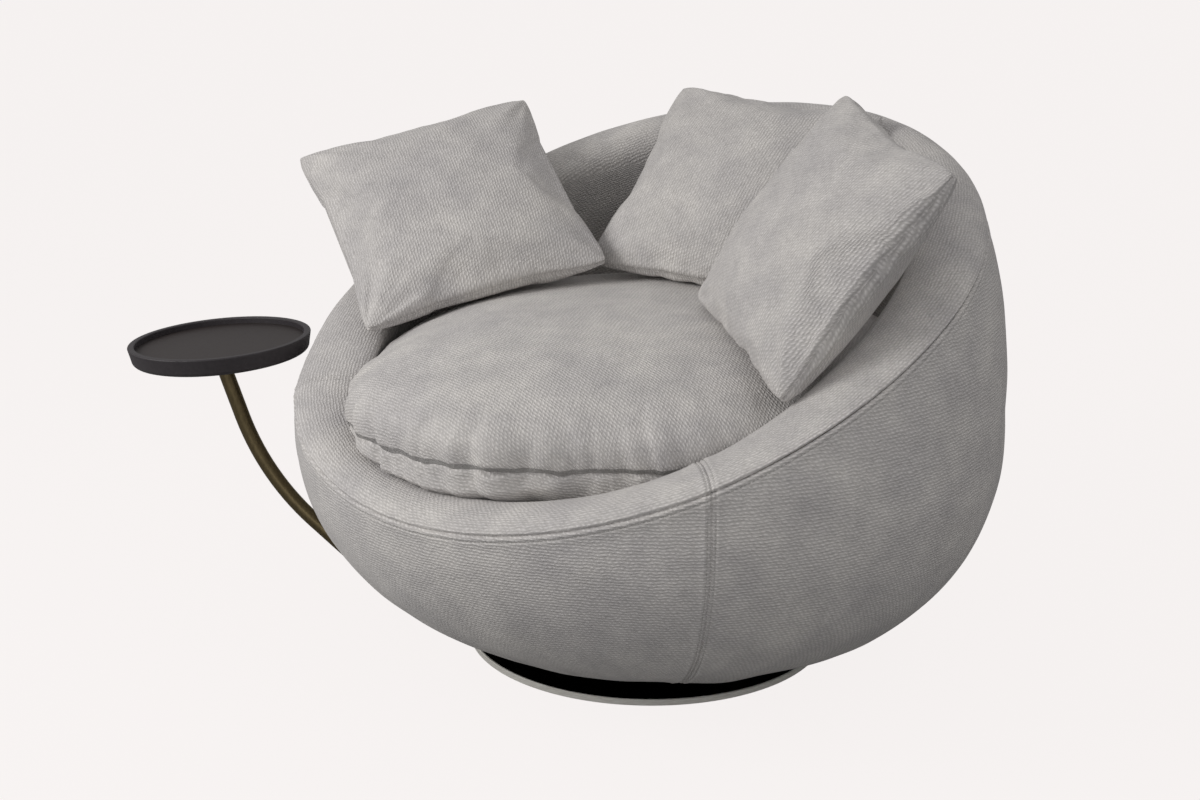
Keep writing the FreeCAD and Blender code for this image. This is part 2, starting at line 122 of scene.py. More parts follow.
# Sewing: threads, and how deep and wide the cloth is drawn in or puffed beside them
STITCH_LENGTH = 0.0042
STITCH_PITCH = 0.0062
STITCH_RADIUS = 0.0005
STITCH_OFFSET = 0.0052
STITCH_SIDES = 6
RING_STITCH_DROP = 0.0095
PANEL_SEAM_DEPTH = 0.0056
PANEL_ROW_DEPTH = 0.0030
PANEL_PUFF = 0.0034
RING_SEAM_DEPTH = 0.0036
RING_ROW_DEPTH = 0.0016
RING_PUFF = 0.0022

# Deck pad and underside cloth
DECK_TOP = 0.2738
DECK_ROLL = 0.010
DECK_THICK = 0.026
UNDERSIDE_MARGIN = 0.012
UNDERSIDE_SAG = 0.0025
UNDERSIDE_THICK = 0.0012

# Colours and weave
FABRIC_LIGHT = (0.705, 0.680, 0.664)
FABRIC_DARK = (0.430, 0.412, 0.399)
WEAVE_ROW = 0.0048
WEAVE_DASH = 0.0070
WEAVE_DRIFT = 0.0068
WEAVE_SWAY = 0.0056

# Studio
FLOOR_COLOUR = (0.939, 0.905, 0.896)
FLOOR_GLOW = 0.955
FLOOR_REACH = 45.0
SOFT_LIGHT = (1.0, 0.985, 0.985)
SOFT_STRENGTH = 0.47
CAMERA_PLACE = (1.650, -2.239, 1.222)
CAMERA_TURN = 38.0
CAMERA_PITCH = 16.5
CAMERA_LENS = 54.0
SENSOR_WIDTH = 36.0


# Shapes shared with the part
def blend(angle, values):
    """Smooth value round the tub that passes through its front, side and back values."""
    front, side, back = values
    toward_back = -math.cos(math.radians(angle))
    swing = (back - front) / 2.0
    bow = (back + front) / 2.0 - side
    return side + swing * toward_back + bow * toward_back ** 2


def seam_height(angle):
    return blend(angle, SEAM_HEIGHTS)


def level_radius(height):
    if height < BELLY_HEIGHT:
        drop = min(1.0, (BELLY_HEIGHT - height) / LOWER_DEPTH)
        return BELLY_RADIUS - LOWER_REACH + LOWER_REACH * math.sqrt(1.0 - drop ** 2)
    rise = height - BELLY_HEIGHT
    return BELLY_RADIUS - UPPER_CURVE + math.sqrt(UPPER_CURVE ** 2 - rise ** 2)


def level_shift(height):
    shift = BACK_LEAN * max(0.0, height - LEAN_START)
    if height < BELLY_HEIGHT:
        shift += FOOT_SETBACK * ((BELLY_HEIGHT - height) / (BELLY_HEIGHT - FOOT_HEIGHT)) ** 2
    return shift


def tub_radius(angle, height):
    turn = math.radians(angle)
    shift = level_shift(height)
    return math.sqrt(level_radius(height) ** 2 - (shift * math.sin(turn)) ** 2) - shift * math.cos(turn)


def polar(radius, angle, height):
    """Point at an angle from the front of the chair, positive towards +X."""
    turn = math.radians(angle)
    return Vector((radius * math.sin(turn), -radius * math.cos(turn), height))


def wall_point(angle, height, inset=0.0):
    return polar(tub_radius(angle, height) - inset, angle, height)


def rim_point(angle, turn, inset=0.0):
    """Point over the rim: turn 0 at the outer seam, 180 degrees at its inner edge."""
    base = seam_height(angle)
    outer = tub_radius(angle, base)
    radius = outer - RIM_WIDTH / 2 + (RIM_WIDTH / 2 - inset) * math.cos(math.radians(turn))
    height = base + (blend(angle, CREST_RISES) - inset) * math.sin(math.radians(turn))
    return polar(radius, angle, height)


def smooth_step(x, low, high):
    share = min(1.0, max(0.0, (x - low) / (high - low)))
    return share * share * (3.0 - 2.0 * share)


def bump(x, width):
    """A smooth hump, 1 in its middle and near 0 beyond its width."""
    return math.exp(-(x / width) ** 2)


def wander(point, size, seed):
    """Slow noise from -1 to 1 over a length in metres."""
    return noise.noise(point / size + Vector((seed * 7.3, seed * 3.1, seed * 5.7)))


# Meshes
def new_object(name, verts, faces):
    mesh = bpy.data.meshes.new(name)
    mesh.from_pydata(verts, [], faces)
    mesh.validate()
    mesh.update()
    obj = bpy.data.objects.new(name, mesh)
    bpy.context.scene.collection.objects.link(obj)
    for face in mesh.polygons:
        face.use_smooth = True
    return obj


def grid_faces(rows, columns, closed):
    """Quads of a grid whose columns go round when it is closed."""
    faces = []
    span = columns if closed else columns - 1
    for r in range(rows - 1):
        for c in range(span):
            d = (c + 1) % columns
            faces.append((r * columns + c, r * columns + d, (r + 1) * columns + d, (r + 1) * columns + c))
    return faces


def set_uv(obj, coords, period=1000.0):
    """One UV layer in metres, from one coordinate pair for each vertex, that repeats round a ring."""
    layer = obj.data.uv_layers.new(name="cloth")
    for face in obj.data.polygons:
        places = [coords[k] for k in face.vertices]
        highest = max(place[0] for place in places)
        for loop, place in zip(face.loop_indices, places):
            wrap = period if highest - place[0] > period / 2 else 0.0
            layer.data[loop].uv = (place[0] + wrap, place[1])


def apply_modifiers(obj):
    depsgraph = bpy.context.evaluated_depsgraph_get()
    mesh = bpy.data.meshes.new_from_object(obj.evaluated_get(depsgraph))
    obj.modifiers.clear()
    old = obj.data
    obj.data = mesh
    bpy.data.meshes.remove(old)


def thicken(obj, thickness):
    """Closed cloth of that thickness behind the shown side."""
    shell = obj.modifiers.new("thickness", "SOLIDIFY")
    shell.thickness = thickness
    shell.offset = -1.0
    shell.use_even_offset = False
    apply_modifiers(obj)


def recalculate(obj):
    work = bmesh.new()
    work.from_mesh(obj.data)
    bmesh.ops.recalc_face_normals(work, faces=work.faces)
    work.to_mesh(obj.data)
    work.free()


# Tub
def seam_dense_angles():
    """Angles round the tub, much closer together beside the panel seams."""
    angles = []
    angle = -180.0
    while angle < 180.0 - 1e-6:
        angles.append(angle)
        near = min(abs(angle - seam) for seam in PANEL_SEAMS)
        if near < 1.9:
            angle += 0.15
        elif near < 3.2:
            angle += 0.4
        else:
            angle += 1.2
    return angles


def panel_seam_relief(angle, point):
    """Fabric drawn in at a panel seam and its two rows of stitching, puffed between."""
    relief = 0.0
    for seam in PANEL_SEAMS:
        aside = math.radians(angle - seam) * math.hypot(point.x, point.y)
        if abs(aside) > 0.06:
            continue
        ripple = 0.25 * wander(point, 0.02, 4)
        rows = bump(aside - STITCH_OFFSET, 0.0022) + bump(aside + STITCH_OFFSET, 0.0022)
        relief -= PANEL_SEAM_DEPTH * bump(aside, 0.0024)
        relief -= PANEL_ROW_DEPTH * (1.0 + ripple) * rows
        relief += PANEL_PUFF * (1.0 + ripple) * bump(aside, 0.011)
    return relief


def ring_seam_relief(distance, point):
    """Fabric drawn in at the seam between rim and body and at the one row of stitching under it.

    The distance runs down the cloth from the seam, and is below 0 on the rim."""
    ripple = 0.3 * wander(point, 0.016, 9)
    relief = -RING_SEAM_DEPTH * bump(distance, 0.0023)
    relief -= RING_ROW_DEPTH * (1.0 + ripple) * bump(distance - RING_STITCH_DROP, 0.0020)
    return relief + RING_PUFF * (1.0 + ripple) * bump(distance - RING_STITCH_DROP / 2, 0.012)


def body_lumps(point):
    """Slow unevenness of foam under cloth."""
    return 0.0022 * wander(point, 0.16, 1) + 0.0009 * wander(point, 0.06, 2)


def hem_waver(point, height):
    """The cloth waves in and out just above the hem."""
    near = 1.0 - smooth_step(height, FOOT_HEIGHT, HEM_TOP)
    return near * HEM_WAVER * wander(point, 0.09, 6)


def outward(angle):
    turn = math.radians(angle)
    return Vector((math.sin(turn), -math.cos(turn), 0.0))


def wall_normal(angle, height):
    step = 0.004
    low = wall_point(angle, max(FOOT_HEIGHT, height - step))
    up = wall_point(angle, height + step) - low
    around = wall_point(angle + 0.4, height) - wall_point(angle - 0.4, height)
    return around.cross(up).normalized()


def body_profile():
    """Shares of the height from hem to rim seam, closer together near the seam."""
    shares = [0.0, 0.004, 0.012]
    shares += list(np.linspace(0.03, 0.93, 62))
    shares += list(np.linspace(0.94, 1.0, 26))
    return shares


def make_tub_body():
    angles = seam_dense_angles()
    shares = body_profile()
    verts, coords = [], []
    for share in shares:
        for angle in angles:
            top = seam_height(angle)
            height = FOOT_HEIGHT + (top - FOOT_HEIGHT) * share
            point = wall_point(angle, height)
            normal = wall_normal(angle, height)
            from_seam = (top - height) * SLANT_NEAR_SEAM
            relief = body_lumps(point) + panel_seam_relief(angle, point) + ring_seam_relief(from_seam, point)
            relief += hem_waver(point, height)
            verts.append(point + normal * relief)
            coords.append((math.radians(angle) * CLOTH_RADIUS, height))
    lip = []
    for angle, edge in zip(angles, verts):
        lip.append(Vector((edge.x, edge.y, edge.z + LIP_RISE)) - outward(angle) * LIP_WIDTH)
    verts = lip + verts
    coords = [(c[0], c[1] - LIP_WIDTH) for c in coords[:len(angles)]] + coords
    obj = new_object("tub_body_cover", verts, grid_faces(len(shares) + 1, len(angles), True))
    set_uv(obj, coords, math.tau * CLOTH_RADIUS)
    thicken(obj, CLOTH_THICK)
    return obj


def rim_normal(angle, turn):
    swing = math.radians(turn)
    upward = Vector((0, 0, math.sin(swing) * RIM_WIDTH / 2))
    sideways = outward(angle) * math.cos(swing) * blend(angle, CREST_RISES)
    return (upward + sideways).normalized()


def soften_rows(grid, middle, reach, rounds):
    """Rounds a grid of points off across the rows near its middle one."""
    for _ in range(rounds):
        before = [list(row) for row in grid]
        for r in range(middle - reach, middle + reach + 1):
            for k in range(len(grid[r])):
                grid[r][k] = before[r][k] * 0.5 + (before[r - 1][k] + before[r + 1][k]) * 0.25


def make_rim():
    """The rim from its outer seam over the crest, and on down the lining to the deck."""
    angles = seam_dense_angles()
    turns = list(np.linspace(0.0, 34.0, 24)) + list(np.linspace(38.0, 180.0, 34))
    low = DECK_HEIGHT + LINING_FOOT
    last = [rim_point(angle, 0.0) for angle in angles]
    along = [0.0] * len(angles)
    grid, coords = [], []
    for row in range(len(turns) + LINING_ROWS):
        line = []
        for k, angle in enumerate(angles):
            if row < len(turns):
                point = rim_point(angle, turns[row])
                normal = rim_normal(angle, turns[row])
            else:
                top = seam_height(angle)
                height = top + (low - top) * (row - len(turns) + 1) / LINING_ROWS
                point = wall_point(angle, height, RIM_WIDTH)
                normal = -outward(angle)
            along[k] += (point - last[k]).length
            last[k] = point
            relief = body_lumps(point) + ring_seam_relief(-along[k], point)
            if row < len(turns):
                relief += panel_seam_relief(angle, point) * (1.0 - smooth_step(turns[row], 140.0, 176.0))
            line.append(point + normal * relief)
            coords.append((math.radians(angle) * CLOTH_RADIUS, RIM_CLOTH_START + along[k]))
        grid.append(line)
    soften_rows(grid, len(turns) - 1, 9, 14)
    obj = new_object("tub_rim_and_lining", sum(grid, []), grid_faces(len(grid), len(angles), True))
    set_uv(obj, coords, math.tau * CLOTH_RADIUS)
    thicken(obj, CLOTH_THICK)
    return obj


# Stitching
def stitch_row(points, normals):
    """Short threads laid along a line, one each pitch, as (vertices, faces)."""
    lengths = [0.0]
    for a, b in zip(points, points[1:]):
        lengths.append(lengths[-1] + (b - a).length)
    verts, faces = [], []
    place, k = STITCH_PITCH / 2, 0
    while place < lengths[-1] - STITCH_PITCH:
        ends = []
        for at in (place, place + STITCH_LENGTH):
            while lengths[k + 1] < at:
                k += 1
            share = (at - lengths[k]) / (lengths[k + 1] - lengths[k])
            ends.append((points[k].lerp(points[k + 1], share), normals[k].lerp(normals[k + 1], share)))
        add_stitch(verts, faces, ends[0], ends[1])
        place += STITCH_PITCH
    return verts, faces


def add_stitch(verts, faces, start, end):
    """One thread: a thin bowed tube of six sides whose ends dive into the cloth."""
    along = (end[0] - start[0]).normalized()
    up = (start[1] + end[1]).normalized()
    side = along.cross(up)
    first = len(verts)
    stations = ((-0.06, -0.9, 0.45), (0.08, 0.1, 0.9), (0.5, 0.35, 1.0), (0.92, 0.1, 0.9), (1.06, -0.9, 0.45))
    for share, lift, thick in stations:
        middle = start[0].lerp(end[0], share) + up * lift * STITCH_RADIUS
        for corner in range(STITCH_SIDES):
            turn = math.tau * corner / STITCH_SIDES
            verts.append(middle + (side * math.cos(turn) + up * math.sin(turn)) * STITCH_RADIUS * thick)
    for s in range(len(stations) - 1):
        low = first + s * STITCH_SIDES
        high = low + STITCH_SIDES
        for c in range(STITCH_SIDES):
            d = (c + 1) % STITCH_SIDES
            faces.append((low + c, low + d, high + d, high + c))
    last = first + (len(stations) - 1) * STITCH_SIDES
    faces.append(tuple(first + c for c in reversed(range(STITCH_SIDES))))
    faces.append(tuple(last + c for c in range(STITCH_SIDES)))


def join_rows(name, rows):
    verts, faces = [], []
    for row_verts, row_faces in rows:
        offset = len(verts)
        verts += row_verts
        faces += [tuple(i + offset for i in face) for face in row_faces]
    return new_object(name, verts, faces)


def make_ring_stitches():
    points, normals = [], []
    for k in range(721):
        angle = -180.0 + k * 0.5
        height = seam_height(angle) - RING_STITCH_DROP / SLANT_NEAR_SEAM
        normal = wall_normal(angle, height)
        point = wall_point(angle, height)
        points.append(point + normal * (body_lumps(point) + ring_seam_relief(RING_STITCH_DROP, point)))
        normals.append(normal)
    return join_rows("rim_topstitch", [stitch_row(points, normals)])


def wall_stitch_line(seam, side):
    """Points and normals of one row of stitching up the body, beside a panel seam."""
    count = 121
    points, normals = [], []
    for k in range(count):
        height = FOOT_HEIGHT + 0.006 + (seam_height(seam) - 0.012 - FOOT_HEIGHT) * k / count
        angle = seam + side * math.degrees(STITCH_OFFSET / tub_radius(seam, height))
        point = wall_point(angle, height)
        normal = wall_normal(angle, height)
        lift = body_lumps(point) + panel_seam_relief(angle, point) + hem_waver(point, height)
        points.append(point + normal * lift)
        normals.append(normal)
    return points, normals


def rim_stitch_line(seam, side):
    """The same row, over the rim."""
    points, normals = [], []
    for k in range(61):
        turn = 12.0 + 128.0 * k / 60
        angle = seam + side * math.degrees(STITCH_OFFSET / rim_point(seam, turn).xy.length)
        point = rim_point(angle, turn)
        normal = rim_normal(angle, turn)
        points.append(point + normal * (body_lumps(point) + panel_seam_relief(angle, point)))
        normals.append(normal)
    return points, normals


def make_panel_stitches():
    rows = []
    for seam in PANEL_SEAMS:
        for side in (-1.0, 1.0):
            rows.append(stitch_row(*wall_stitch_line(seam, side)))
            rows.append(stitch_row(*rim_stitch_line(seam, side)))
    return join_rows("panel_topstitch", rows)


# Seat pouffe
def pouf_radius(angle, height):
    """The bowl's wall, and above the rim at the front and left a spill over its crest."""
    start = seam_height(angle)
    wall = tub_radius(angle, min(height, start)) - RIM_WIDTH - POUF_WALL_GAP
    reach = smooth_step(angle, *POUF_REACH_LEFT) * (1.0 - smooth_step(angle, *POUF_REACH_RIGHT))
    return wall + (POUF_REACH - wall) * reach * smooth_step(height - start, 0.0, POUF_SPILL_HEIGHT)


def pouf_wrinkle(angle, fold):
    """Round gathers with sharp valleys between, run up from the seam and deepest at the front."""
    swing = angle + 5.0 * noise.noise(Vector((angle * 0.05, fold * 9.0, 0.3)))
    comb = abs(noise.noise(Vector((swing * 0.135, fold * 1.5, 4.0)))) - 0.20
    comb += 0.45 * abs(noise.noise(Vector((swing * 0.34, fold * 6.0, 8.0)))) - 0.09
    front = 0.22 + 0.78 * bump(angle + 10.0, 42.0)
    fade = math.exp(-abs(fold) / GATHER_LENGTH)
    return GATHER_DEPTH * comb * front * fade * (1.0 - 0.7 * bump(fold, 0.005))


def seam_waver(angle, fold):
    """The seam rides up and down with the gathers."""
    sway = noise.noise(Vector((angle * 0.16, 2.0, 6.0))) + 0.5 * noise.noise(Vector((angle * 0.45, 3.0, 1.0)))
    return Vector((0, 0, SEAM_SWAY * sway * math.exp(-abs(fold) / 0.030)))


def pouf_side_stations():
    """Heights and distances drawn in, from the bottom's edge up the border to the seam."""
    stations = []
    for k in range(8):
        turn = math.pi / 2 * k / 7
        height = POUF_BOTTOM + POUF_CORNER * (1.0 - math.cos(turn))
        stations.append((height, POUF_CORNER * (1.0 - math.sin(turn))))
    low = POUF_BOTTOM + POUF_CORNER
    for k in range(1, 49):
        stations.append((low + (POUF_SEAM_HEIGHT - low) * (1.0 - (1.0 - k / 48) ** 1.5), 0.0))
    return stations


def crown_shares():
    """Shares of the radius from the seam to the middle of the crown, closer together near the seam."""
    fine = [1.0 - 0.0004 * k ** 1.75 for k in range(1, 20)]
    rest = list(np.linspace(fine[-1], 0.0, 44))[1:-1]
    return fine + rest


def crown_point(angle, share):
    """Point and normal of the crown at a share of the radius."""
    lift = (1.0 - share ** POUF_CROWN_POWER) ** (1.0 / POUF_CROWN_POWER)
    height = POUF_SEAM_HEIGHT + POUF_CROWN * lift
    radius = pouf_radius(angle, height) * share + POUF_PLUMP * bump(lift - 0.36, 0.26) * share ** 2
    normal = (outward(angle) * share ** 3 + Vector((0, 0, lift + 0.05))).normalized()
    return polar(radius, angle, height), normal


def pouf_bottom(angles):
    verts, coords = [], []
    for k in range(1, 10):
        for angle in angles:
            point = polar(k / 10 * (pouf_radius(angle, POUF_BOTTOM) - POUF_CORNER), angle, POUF_BOTTOM)
            verts.append(point)
            coords.append((point.x, point.y))
    return verts, coords


def pouf_side(angles):
    verts, coords = [], []
    for height, draw in pouf_side_stations():
        fold = height - POUF_SEAM_HEIGHT
        for angle in angles:
            point = polar(pouf_radius(angle, height) - draw, angle, height)
            relief = pouf_wrinkle(angle, fold) + 0.002 * wander(point, 0.1, 12)
            relief -= POUF_GROOVE * bump(fold, POUF_GROOVE_WIDTH)
            verts.append(point + outward(angle) * relief + seam_waver(angle, fold))
            coords.append((math.radians(angle) * CLOTH_RADIUS, height))
    return verts, coords


def pouf_crown(angles):
    """The crown's points, whose cloth is measured along it from the seam and laid out from the middle."""
    verts, shown = [], []
    last = [polar(pouf_radius(angle, POUF_SEAM_HEIGHT), angle, POUF_SEAM_HEIGHT) for angle in angles]
    folds = [0.0] * len(angles)
    for share in crown_shares():
        for k, angle in enumerate(angles):
            point, normal = crown_point(angle, share)
            folds[k] += (point - last[k]).length
            last[k] = point
            relief = pouf_wrinkle(angle, folds[k]) + 0.0035 * wander(point, 0.22, 14)
            relief += 0.0018 * wander(point, 0.09, 15)
            relief -= POUF_GROOVE * bump(folds[k], POUF_GROOVE_WIDTH)
            verts.append(point + normal * relief + seam_waver(angle, folds[k]))
            shown.append(folds[k])
    coords = []
    for k, fold in enumerate(shown):
        column = k % len(angles)
        spot = polar(folds[column] - fold + 0.01, angles[column], 0.0)
        coords.append((spot.x, spot.y))
    return verts, coords


def make_pouf():
    count = POUF_COLUMNS
    angles = [-180.0 + 360.0 * k / count for k in range(count)]
    verts, coords = [], []
    for make_part in (pouf_bottom, pouf_side, pouf_crown):
        part_verts, part_coords = make_part(angles)
        verts += part_verts
        coords += part_coords
    rows = len(verts) // count
    faces = grid_faces(rows, count, True)
    bottom, top = len(verts), len(verts) + 1
    verts += [Vector((0, 0, POUF_BOTTOM)), Vector((0, 0, POUF_TOP))]
    coords += [(0.0, 0.0), (0.0, 0.0)]
    for c in range(count):
        d = (c + 1) % count
        faces.append((bottom, d, c))
        faces.append((top, (rows - 1) * count + c, (rows - 1) * count + d))
    obj = new_object("seat_pouffe", verts, faces)
    set_uv(obj, coords, math.tau * CLOTH_RADIUS)
    return obj


# Scatter cushions
def scatter_matrix(place):
    middle, facing, lean, turn, _ = place
    spin = Matrix.Rotation(math.radians(turn), 4, "Z")
    tip = Matrix.Rotation(math.radians(90.0 - lean), 4, "Y")
    face = Matrix.Rotation(math.radians(facing), 4, "Z")
    return Matrix.Translation(middle) @ face @ tip @ spin


def cushion_blank(side):
    """Two square panels sewn at their edges and slightly parted, with the numbers of their points."""
    cells = SCATTER_CELLS
    verts, index = [], {}
    for face in (1, -1):
        for i in range(cells + 1):
            for j in range(cells + 1):
                if face < 0 and (i in (0, cells) or j in (0, cells)):
                    index[face, i, j] = index[1, i, j]
                    continue
                u, v = 2.0 * i / cells - 1.0, 2.0 * j / cells - 1.0
                puff = math.sqrt((1.0 - u * u) * (1.0 - v * v)) * SCATTER_BLANK_PUFF
                index[face, i, j] = len(verts)
                verts.append(Vector((u * side / 2, v * side / 2, face * puff * SCATTER_HALF_THICK)))
    return new_object("blank", verts, sheet_faces(index, cells)), index


def sheet_faces(index, cells):
    faces = []
    for face in (1, -1):
        for i in range(cells):
            for j in range(cells):
                quad = [index[face, a, b] for a, b in ((i, j), (i + 1, j), (i + 1, j + 1), (i, j + 1))]
                faces.append(tuple(quad if face > 0 else reversed(quad)))
    return faces


def inflate(obj):
    """Cloth blown up by pressure for a few frames, with the result kept in the mesh."""
    scene = bpy.context.scene
    cloth = obj.modifiers.new("inflate", "CLOTH")
    cloth.settings.quality = 6
    cloth.settings.mass = 0.3
    cloth.settings.tension_stiffness = 25.0
    cloth.settings.compression_stiffness = 25.0
    cloth.settings.shear_stiffness = 8.0
    cloth.settings.bending_stiffness = 1.2
    cloth.settings.use_pressure = True
    cloth.settings.uniform_pressure_force = BLOW_PRESSURE
    cloth.settings.effector_weights.gravity = 0.0
    cloth.collision_settings.use_collision = False
    cloth.point_cache.frame_start = 1
    cloth.point_cache.frame_end = BLOW_FRAMES
    for step in range(1, BLOW_FRAMES + 1):
        scene.frame_set(step)
    apply_modifiers(obj)
    scene.frame_set(1)


def settle(points, index, face, side):
    """One panel's blown-up points as a grid, mixed with a plain dome, drawn in no further than the cap."""
    cells = SCATTER_CELLS
    grid = np.array([[points[index[face, i, j]] for j in range(cells + 1)] for i in range(cells + 1)])
    along = np.linspace(-1.0, 1.0, cells + 1)
    u, v = np.meshgrid(along, along, indexing="ij")
    flat = np.stack([u, v], axis=2) * side / 2
    drawn = np.clip((grid[:, :, :2] - flat) * SCATTER_DRAW_SHARE, -SCATTER_DRAW_CAP, SCATTER_DRAW_CAP)
    dome = face * ((1.0 - u * u) * (1.0 - v * v)) ** 0.52
    blown = grid[:, :, 2] / np.abs(points[:, 2]).max()
    height = SCATTER_HALF_THICK * (SCATTER_BLOWN_SHARE * blown + (1.0 - SCATTER_BLOWN_SHARE) * dome)
    if face < 0:
        height = height * SCATTER_BACK_SWELL
    return np.dstack([flat + drawn, height])


def refine(grid, places):
    """The grid's rows read at places from 0 to 1 along them, through a smooth spline."""
    cells = len(grid) - 1
    wide = np.concatenate([2 * grid[:1] - grid[1:2], grid, 2 * grid[-1:] - grid[-2:-1]])
    start = np.clip(np.floor(places * cells).astype(int), 0, cells - 1)
    f = places * cells - start
    weights = (-0.5 * f + f ** 2 - 0.5 * f ** 3, 1.0 - 2.5 * f ** 2 + 1.5 * f ** 3,
               0.5 * f + 2.0 * f ** 2 - 1.5 * f ** 3, 0.5 * f ** 3 - 0.5 * f ** 2)
    return sum(w[:, None, None] * wide[start + k] for k, w in enumerate(weights))


def cushion_creases(x, y, half, seed):
    """Lumps of filling, gathers along the seams and pulls that run in from the corners."""
    spot = Vector((x, y, seed * 3.7))
    relief = 0.0055 * wander(spot, 0.14, seed) + 0.0016 * wander(spot, 0.05, seed + 1)
    edge = half - max(abs(x), abs(y))
    around = x if abs(y) > abs(x) else y
    relief += 0.0034 * noise.noise(Vector((around / 0.021, seed, 0.0))) * math.exp(-edge / 0.026)
    corner = Vector((half - abs(x), half - abs(y)))
    swing = math.atan2(corner.y, corner.x)
    pull = noise.noise(Vector((swing * 3.1, seed + math.copysign(2.0, x), math.copysign(4.0, y))))
    return relief + 0.0100 * pull * bump(corner.length - 0.080, 0.060)


def fine_panel(points, index, face, side, places):
    """One panel's grid, read closer together in both directions."""
    grid = refine(settle(points, index, face, side), places)
    return refine(grid.transpose(1, 0, 2), places).transpose(1, 0, 2)


def make_scatter(name, place, seed):
    side = place[4] * SCATTER_EASE
    half = side / 2
    blank, index = cushion_blank(side)
    inflate(blank)
    points = np.array([vertex.co for vertex in blank.data.vertices])
    bpy.data.objects.remove(blank)
    cells = SCATTER_FINE_CELLS
    places = 0.5 - 0.5 * np.cos(np.linspace(0.0, math.pi, cells + 1))
    verts, coords, fine = [], [], {}
    for face in (1, -1):
        grid = fine_panel(points, index, face, side, places)
        for i in range(cells + 1):
            for j in range(cells + 1):
                if face < 0 and (i in (0, cells) or j in (0, cells)):
                    fine[face, i, j] = fine[1, i, j]
                    continue
                x, y = (2.0 * places[i] - 1.0) * half, (2.0 * places[j] - 1.0) * half
                edge = half - max(abs(x), abs(y))
                spot = Vector(grid[i, j])
                spot.z += face * cushion_creases(x, y, half, seed + face) * smooth_step(edge, 0.0, 0.02)
                groove = SCATTER_GROOVE * bump(edge, SCATTER_GROOVE_WIDTH) / math.hypot(x, y)
                tip = SCATTER_TIP * (abs(x * y) / half ** 2) ** 12
                spot -= Vector((x, y, 0.0)) * (groove + tip)
                fine[face, i, j] = len(verts)
                verts.append(spot)
                coords.append((x, y))
    obj = new_object("scatter_" + name, verts, sheet_faces(fine, cells))
    set_uv(obj, coords)
    obj.data.transform(scatter_matrix(place))
    return obj


# Deck and underside
def make_deck():
    verts, coords = [], []
    rings = [0.02 + 0.98 * k / 24 for k in range(25)]
    count = 96
    for ring in rings:
        for k in range(count):
            angle = -180.0 + 360.0 * k / count
            wall = tub_radius(angle, 0.27) - RIM_WIDTH - 0.001
            height = DECK_TOP - DECK_ROLL * smooth_step(ring, 0.9, 1.0)
            point = polar(wall * ring, angle, height)
            verts.append(point + Vector((0, 0, 0.0006 * wander(point, 0.08, 20) - 0.0008)))
            coords.append((point.x, point.y))
    faces = grid_faces(len(rings), count, True)
    faces.append(tuple(reversed(range(count))))
    obj = new_object("deck_pad", verts, faces)
    set_uv(obj, coords)
    recalculate(obj)
    thicken(obj, DECK_THICK)
    return obj


def make_underside():
    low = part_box("dust_cover")[0]
    hole = min(vertex.co.xy.length for vertex in frame["nodes"]["dust_cover"].data.vertices)
    count = 160
    verts, coords = [], []
    rings = [k / 16 for k in range(17)]
    for ring in rings:
        for k in range(count):
            angle = -180.0 + 360.0 * k / count
            outer = tub_radius(angle, FOOT_HEIGHT + 0.002) - UNDERSIDE_MARGIN
            radius = hole + (outer - hole) * ring
            uneven = 0.6 + 0.4 * noise.noise(Vector((angle * 0.1, ring * 3, 0)))
            sag = UNDERSIDE_SAG * math.sin(math.pi * ring) * uneven
            point = polar(radius, angle, low.z + 0.0008 - sag)
            verts.append(point)
            coords.append((point.x, point.y))
    obj = new_object("underside_cloth", verts, grid_faces(len(rings), count, True))
    set_uv(obj, coords)
    recalculate(obj)
    thicken(obj, UNDERSIDE_THICK)
    return obj


# Materials
def new_material(name):
    material = bpy.data.materials.new(name)
    material.use_nodes = True
    nodes = material.node_tree.nodes
    nodes.clear()
    shader = nodes.new("ShaderNodeBsdfPrincipled")
    out = nodes.new("ShaderNodeOutputMaterial")
    material.node_tree.links.new(shader.outputs["BSDF"], out.inputs["Surface"])
    return material, material.node_tree, shader


def math_node(tree, operation, *values):
    """A sum on numbers or sockets."""
    made = tree.nodes.new("ShaderNodeMath")
    made.operation = operation
    for socket, value in zip(made.inputs, values):
        if isinstance(value, (int, float)):
            socket.default_value = value
        else:
            tree.links.new(value, socket)
    return made.outputs[0]


def plus(tree, a, b):
    return math_node(tree, "ADD", a, b)


def times(tree, a, b):
    return math_node(tree, "MULTIPLY", a, b)


def scaled(tree, source, scale, turn=0.0):
    made = tree.nodes.new("ShaderNodeMapping")
    made.inputs["Scale"].default_value = scale
    made.inputs["Rotation"].default_value = (0.0, 0.0, math.radians(turn))
    tree.links.new(source, made.inputs["Vector"])
    return made.outputs["Vector"]


def noise_of(tree, vector, scale, detail=2.0, roughness=0.5):
    made = tree.nodes.new("ShaderNodeTexNoise")
    made.inputs["Scale"].default_value = scale
    made.inputs["Detail"].default_value = detail
    made.inputs["Roughness"].default_value = roughness
    tree.links.new(vector, made.inputs["Vector"])
    return made.outputs["Fac"]


def ramp(tree, fac, stops):
    made = tree.nodes.new("ShaderNodeValToRGB")
    elements = made.color_ramp.elements
    while len(elements) < len(stops):
        elements.new(0.5)
    for element, (place, colour) in zip(elements, stops):
        element.position = place
        element.color = (*colour, 1.0)
    tree.links.new(fac, made.inputs["Fac"])
    return made.outputs["Color"]


def set_bump(tree, shader, height, strength, distance):
    made = tree.nodes.new("ShaderNodeBump")
    made.inputs["Strength"].default_value = strength
    made.inputs["Distance"].default_value = distance
    tree.links.new(height, made.inputs["Height"])
    tree.links.new(made.outputs["Normal"], shader.inputs["Normal"])


